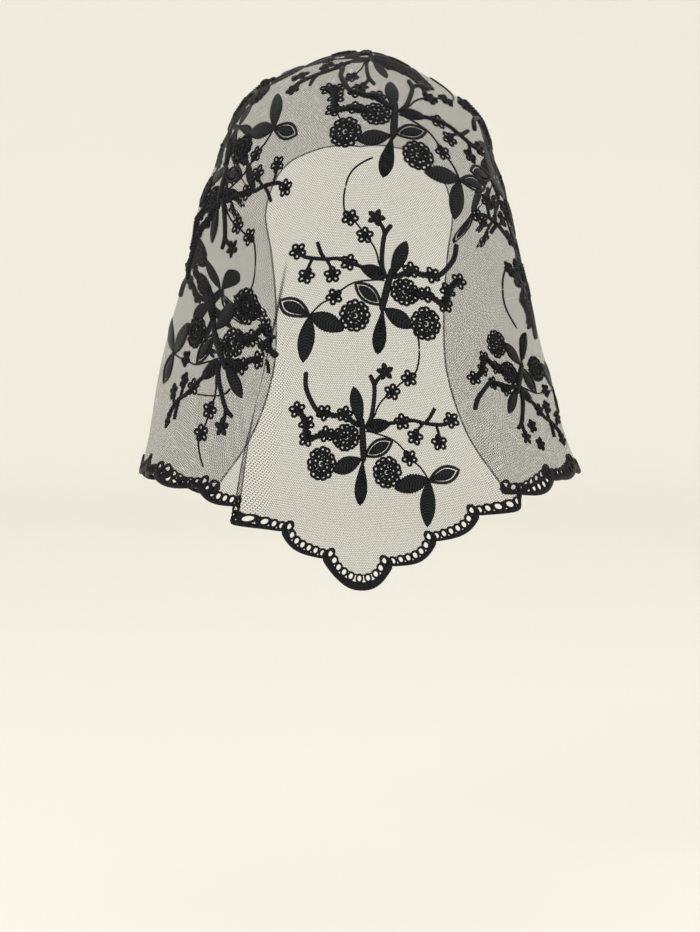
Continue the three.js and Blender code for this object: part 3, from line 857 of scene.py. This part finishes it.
# The rib down the middle of the motif, then how its leaves, roses and stems are worked.
MIDRIB = ((3.0, 18.5), (3.1, 16.5), (3.5, 8), (3.9, 0), (4.2, -8), (4.3, -11))
MIDRIB_HALF_WIDTHS = (0, 1.7, 2.2, 2.3, 1.9, 0)
MIDRIB_HALF_HEIGHTS = (0, 1.2, 1.5, 1.5, 1.2, 0)
THREAD_LIFT = 0.35
LEAF_STOPS, SERRATED_STOPS = 17, 27
LEAF_FULLNESS = 0.72
LEAF_HEIGHT = 1.15
LEAF_GROOVES = {"ridged": 0.35, "serrated": 0.25, "veined": 0.2}
SERRATION = 0.07
OPEN_EDGE_WIDTH, OPEN_EDGE_HEIGHT, OPEN_EDGE_INSET = 0.95, 0.75, 0.8
CORE_START, CORE_SHARE, CORE_WIDTH, CORE_HEIGHT = 0.12, 0.76, 0.6, 0.18
VEINS_AT = (0.25, 0.42, 0.6)
VEIN_RADIUS, VEIN_ALONG, VEIN_ACROSS = 0.38, 0.18, 0.3
KNOT_ROWS, KNOTS_FROM, KNOTS_TO = 11, 0.3, 0.94
KNOT_COLUMNS = (-0.62, 0.0, 0.62)
KNOT_RADIUS, KNOT_HEIGHT = 0.8, 0.75
RIM_LOOPS, RIM_INSET, RIM_LOOP, RIM_CORD = 13, 1.9, (1.5, 1.75), 0.88
RING_INSET, RING_CORD = 3.8, 0.95
INNER_LOOPS, INNER_INSET, INNER_LOOP, INNER_CORD = 8, 5.3, (1.3, 1.4), 0.82
CENTRE_RADIUS, CENTRE_CORD = 2.2, 0.9
ROSE_KNOT, BLOSSOM_KNOT = (1.2, 0.8), (1.35, 0.95)
PETALS, PETAL_INSET, PETAL_LOOP, PETAL_CORD = 5, 2.15, (1.65, 1.4), 0.85
SATIN_PETAL_WIDTH, SATIN_PETAL_HEIGHT, SATIN_PETAL_REACH = 1.9, 0.45, 0.6
KNOT_SPACING, PLAIN_SPACING, THIN_SPACING = 0.62, 1.5, 1.6
THIN_RADIUS = 0.62


def leaf(form, kind, base_end, tip, width, widest, element):
    """Adds one leaf worked in satin stitch, or in cords round an opening."""
    base_end, tip = np.array(base_end), np.array(tip)
    stops = SERRATED_STOPS if kind == "serrated" else LEAF_STOPS
    part = np.linspace(0, 1, stops)
    profile = np.sin(math.pi * part ** (math.log(0.5) / math.log(widest))) ** LEAF_FULLNESS
    profile[[0, -1]] = 0
    path = base_end + (tip - base_end) * part[:, None]
    half = profile * width / 2
    along = tip - base_end
    across = np.array((-along[1], along[0])) / np.linalg.norm(along)
    if kind == "open":
        inset = (half - OPEN_EDGE_INSET * (profile > 0))[:, None]
        edge = np.vstack((path + across * inset, (path - across * inset)[1:-1][::-1]))
        swept(form, edge, OPEN_EDGE_WIDTH, OPEN_EDGE_HEIGHT, 6, closed=True, base=THREAD_LIFT,
              element=element)
        core = base_end + along * (CORE_START + CORE_SHARE * part[:, None])
        swept(form, core, half * CORE_WIDTH, half * CORE_HEIGHT, 8, base=THREAD_LIFT - 0.1,
              belly=0.3, chevron=True, element=element)
        return
    if kind == "serrated":
        half = half * (1 + SERRATION * (-1) ** np.arange(stops))
    height = np.minimum(profile, 0.9) ** 0.8 * LEAF_HEIGHT
    swept(form, path, half, height, 12, base=0.1, belly=0.25, groove=LEAF_GROOVES.get(kind, 0.0),
          chevron=True, element=element)
    if kind == "veined":
        for at in VEINS_AT:
            for side in (-1, 1):
                start = base_end + along * at
                end = base_end + along * (at + VEIN_ALONG) + across * side * width * VEIN_ACROSS
                cord(form, (start, (start + end) / 2, end), VEIN_RADIUS, 4, base=1.05,
                     element=element)
    if kind == "knotted":
        for at in np.linspace(KNOTS_FROM, KNOTS_TO, KNOT_ROWS):
            reach = np.interp(at, part, half)
            for side in KNOT_COLUMNS:
                spot = base_end + along * (at + (0.02 if side == 0 else 0)) + across * side * reach
                knot(form, spot, KNOT_RADIUS, KNOT_HEIGHT, base=1.0 - 0.35 * abs(side),
                     element=element)


def rose(form, x, y, across, up, element):
    """Adds a corded rose: a rim of small loops, rings of cord and a knot in the middle."""
    ratio = up / across

    def at(radius, angle):
        return (x + radius * math.cos(angle), y + radius * ratio * math.sin(angle))

    for loop in range(RIM_LOOPS):
        angle = 2 * math.pi * (loop + 0.12 * math.sin(3 * loop + x)) / RIM_LOOPS
        pull = 0.9 + 0.14 * math.sin(2.3 * loop + x)
        ring(form, at(across - RIM_INSET, angle), RIM_LOOP[0] * pull, RIM_LOOP[1], RIM_CORD,
             turn=angle, base=THREAD_LIFT, element=element)
    radius = across - RING_INSET
    ring(form, (x, y), radius, radius * ratio, RING_CORD, stops=26, sides=5,
         base=THREAD_LIFT + 0.25, element=element)
    for loop in range(INNER_LOOPS):
        angle = 2 * math.pi * (loop + 0.4 + 0.15 * math.sin(2 * loop + y)) / INNER_LOOPS
        pull = 0.9 + 0.16 * math.sin(1.7 * loop + y)
        ring(form, at(across - INNER_INSET, angle), INNER_LOOP[0] * pull, INNER_LOOP[1], INNER_CORD,
             turn=angle, base=THREAD_LIFT + 0.1, element=element)
    ring(form, at(0.3, y), CENTRE_RADIUS, CENTRE_RADIUS * ratio, CENTRE_CORD, stops=14, sides=5,
         base=THREAD_LIFT + 0.3, element=element)
    knot(form, (x, y), *ROSE_KNOT, base=0.5, element=element)


def blossom(form, x, y, turn, element, solid=False):
    """Adds a five-petal blossom of looped cord, or one filled with satin."""
    for petal in range(PETALS):
        angle = turn + 2 * math.pi * petal / PETALS
        way = np.array((math.cos(angle), math.sin(angle)))
        if solid:
            part = np.linspace(0, 1, 7)
            half = SATIN_PETAL_WIDTH * np.sin(math.pi * part**1.1) ** 0.8
            half[-1] = 0
            path = np.array((x, y)) + way * (part[:, None] * (BLOSSOM_RADIUS + SATIN_PETAL_REACH))
            swept(form, path, half, half * SATIN_PETAL_HEIGHT, 6, base=0.3, chevron=True,
                  element=element)
        else:
            ring(form, np.array((x, y)) + way * (BLOSSOM_RADIUS - PETAL_INSET), *PETAL_LOOP,
                 PETAL_CORD, turn=angle, base=THREAD_LIFT, element=element)
    knot(form, (x, y), *BLOSSOM_KNOT, base=0.35, element=element)


motif = new_form()
element_ends = [()]
for kind, base_end, tip, width, widest in LEAVES:
    leaf(motif, kind, base_end, tip, width, widest, len(element_ends))
    element_ends.append((base_end, tip))
swept(motif, MIDRIB, MIDRIB_HALF_WIDTHS, MIDRIB_HALF_HEIGHTS, 10, base=0.4, chevron=True,
      element=len(element_ends))
element_ends.append(((3.5, 3.0),))
for x, y, across, up in ROSES:
    rose(motif, x, y, across, up, len(element_ends))
    element_ends.append(((x - across, y), (x + across, y), (x, y - up), (x, y + up)))
for index, (x, y) in enumerate(BLOSSOMS):
    blossom(motif, x, y, 0.35 + 1.7 * index, len(element_ends))
    reach = BLOSSOM_RADIUS - 1.3
    element_ends.append(((x - reach, y), (x + reach, y), (x, y - reach), (x, y + reach)))
blossom(motif, *STAR, math.pi / 2 + 0.2, len(element_ends), solid=True)
element_ends.append((STAR,))
for knots, radius, places in THICK_STEMS:
    cord(motif, places, radius, 7, KNOT_SPACING if knots else PLAIN_SPACING, knots,
         base=THREAD_LIFT, element=len(element_ends))
    element_ends.append(places)
for places in THIN_STEMS:
    cord(motif, places, THIN_RADIUS, 5, THIN_SPACING, base=THREAD_LIFT - 0.1,
         element=len(element_ends))
    element_ends.append(places)
motif_mesh = finish_form(motif, "spray_motif")

# The light colour is the painted highlight on the stitches' crests and ridges.
embroidery = thread_material(
    "satin embroidery", dark=(0.0008, 0.0009, 0.0011, 1), light=(0.023, 0.025, 0.027, 1),
    roughness=0.34, pitch=0.55, slant=0.5, relief=0.8,
)

# Where the sprays lie on the flat lace: across, down from the crown, turned in degrees, mirrored
# or plain, and the share of their full width and height where the cloth is gathered or pulled.
SPRAYS = (
    ("spray_back_low", -3, 301, 0, False, 1, 1),
    ("spray_back_middle", 18, 209, -10, True, 1, 1),
    ("spray_back_high", 15, 99, -7, False, 1, 1),
    ("spray_crown", 10, -8, -10, True, 1, 1),
    ("spray_left_low", -87.3, 219, -166.5, False, 0.85, 1.2),
    ("spray_left_high", -89, 107, 176, True, 0.77, 1.15),
    ("spray_left_top", -91, -3, 176, False, 1, 1),
    ("spray_left_cheek", -180, 100, 180, False, 1, 1),
    ("spray_right_low", 104.5, 234, 169, True, 0.81, 0.87),
    ("spray_right_high", 134, 122, 178, False, 1, 1),
    ("spray_right_top", 106, 22, 180, True, 1, 1),
)
EDGE_MARGIN = 1.2
PLEAT_BEARING = -13.0


def on_lace(x, y):
    """Whether a flat place lies on the lace, clear of its edge."""
    ones, others = outline, np.roll(outline, -1, axis=0)
    cross = (ones[:, 1] > y) != (others[:, 1] > y)
    rise = np.where(cross, others[:, 1] - ones[:, 1], 1.0)
    at = (others[:, 0] - ones[:, 0]) * (y - ones[:, 1]) / rise + ones[:, 0]
    clear = np.hypot(outline[:, 0] - x, outline[:, 1] - y).min() > EDGE_MARGIN
    return bool(clear and np.count_nonzero(cross & (x < at)) % 2)


def is_tucked(spots):
    """Whether most of a form left of the pleat lies past its crease, where the cloth folds in."""
    past = [PLEAT_BEARING < math.degrees(math.atan2(x, -y)) < 0 for x, y in spots]
    return 2 * sum(past) > len(past)


for name, across, down, turn, mirrored, wide, tall in SPRAYS:
    place = (
        Matrix.Translation((across, -down, 0))
        @ Matrix.Rotation(math.radians(turn), 4, "Z")
        @ Matrix.Diagonal((-wide if mirrored else wide, tall, 1, 1))
    )
    dropped = set()
    for number, ends in enumerate(element_ends):
        spots = [(place @ Vector((x, y, 0))).xy for x, y in ends]
        if not all(on_lace(*spot) for spot in spots) or (
            name == "spray_left_low" and spots and is_tucked(spots)
        ):
            dropped.add(number)
    spray = bmesh.new()
    spray.from_mesh(motif_mesh)
    number = spray.verts.layers.int["element"]
    bmesh.ops.delete(spray, geom=[v for v in spray.verts if v[number] in dropped], context="VERTS")
    bmesh.ops.transform(spray, matrix=place, verts=spray.verts)
    if mirrored:
        bmesh.ops.reverse_faces(spray, faces=spray.faces)
    mesh = bpy.data.meshes.new(f"embroidered_{name}")
    spray.to_mesh(mesh)
    spray.free()
    piece = wear(f"embroidered_{name}", mesh, embroidery)
    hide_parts(name)

# Studio: a plain pale table and backdrop in one sweep, soft lights and the camera, which
# looks at the back of the scarf from a little above its middle.
FLOOR_DROP = 0.545
BACKDROP = 4.0
SWEEP_WIDTH = 9.0
SWEEP_LENGTH = 12.0
TABLE_LENGTH = 6.0
BEND_RADIUS = 0.9
sweep = bmesh.new()
bmesh.ops.create_grid(sweep, x_segments=2, y_segments=60, size=0.5)
for vert in sweep.verts:
    along = (vert.co.y + 0.5) * SWEEP_LENGTH
    past_table = along - TABLE_LENGTH
    if past_table < 0:
        y, z = along, 0.0
    elif past_table < BEND_RADIUS * math.pi / 2:
        angle = past_table / BEND_RADIUS
        y = TABLE_LENGTH + BEND_RADIUS * math.sin(angle)
        z = BEND_RADIUS * (1 - math.cos(angle))
    else:
        y = TABLE_LENGTH + BEND_RADIUS
        z = BEND_RADIUS + past_table - BEND_RADIUS * math.pi / 2
    y += BACKDROP - TABLE_LENGTH - BEND_RADIUS
    vert.co = (vert.co.x * SWEEP_WIDTH, y, z - FLOOR_DROP)
stage_mesh = bpy.data.meshes.new("studio_sweep")
sweep.to_mesh(stage_mesh)
sweep.free()
stage_mesh.polygons.foreach_set("use_smooth", [True] * len(stage_mesh.polygons))
paper, paper_tree, paper_shader = new_material("pale studio paper", (0.86, 0.83, 0.76, 1), 0.9)
grain = paper_tree.nodes.new("ShaderNodeTexNoise")
grain.inputs["Scale"].default_value = 1.5
spot = paper_tree.nodes.new("ShaderNodeTexCoord")
link(paper_tree, spot.outputs["Object"], grain.inputs["Vector"])
paper_tone = paper_tree.nodes.new("ShaderNodeValToRGB")
paper_tone.color_ramp.elements[0].color = (0.86, 0.83, 0.75, 1)
paper_tone.color_ramp.elements[1].color = (0.88, 0.85, 0.78, 1)
link(paper_tree, grain.outputs["Fac"], paper_tone.inputs["Fac"])
link(paper_tree, paper_tone.outputs["Color"], paper_shader.inputs["Base Color"])
stage_mesh.materials.append(paper)
studio = bpy.data.objects.new("studio_sweep", stage_mesh)
bpy.context.scene.collection.objects.link(studio)

WORLD_COLOUR, WORLD_STRENGTH = (0.985, 0.99, 0.97, 1), 1.01
LIT_PLACE = (0, 0, -0.15)
world = bpy.data.worlds.new("studio light")
world.use_nodes = True
world_light = world.node_tree.nodes["Background"]
world_light.inputs["Color"].default_value = WORLD_COLOUR
world_light.inputs["Strength"].default_value = WORLD_STRENGTH
bpy.context.scene.world = world


def soft_light(name, place, size, power):
    """Adds a square area light that faces the scarf."""
    light = bpy.data.lights.new(name, "AREA")
    light.shape = "SQUARE"
    light.size = size
    light.energy = power
    lamp = bpy.data.objects.new(name, light)
    lamp.location = place
    lamp.rotation_euler = (Vector(LIT_PLACE) - Vector(place)).to_track_quat("-Z", "Y").to_euler()
    bpy.context.scene.collection.objects.link(lamp)


soft_light("key light", (-1.1, -1.8, 1.1), size=0.6, power=13)
soft_light("fill light", (1.6, -1.4, 0.5), size=1.0, power=4)
soft_light("top light", (0.2, 0.4, 1.9), size=1.0, power=2)

EYE, TARGET = Vector((-0.007, -1.700, -0.1485)), Vector((-0.007, 0, -0.2625))
VIEW_WIDTH = 0.448
lens = bpy.data.cameras.new("camera")
lens.sensor_fit = "HORIZONTAL"
lens.sensor_width = 36
lens.lens = lens.sensor_width * (TARGET - EYE).length / VIEW_WIDTH
lens.clip_start, lens.clip_end = 0.05, 40
camera = bpy.data.objects.new("camera", lens)
camera.location = EYE
camera.rotation_euler = (TARGET - EYE).to_track_quat("-Z", "Y").to_euler()
bpy.context.scene.collection.objects.link(camera)
bpy.context.scene.camera = camera
bpy.context.scene.view_settings.view_transform = "Standard"
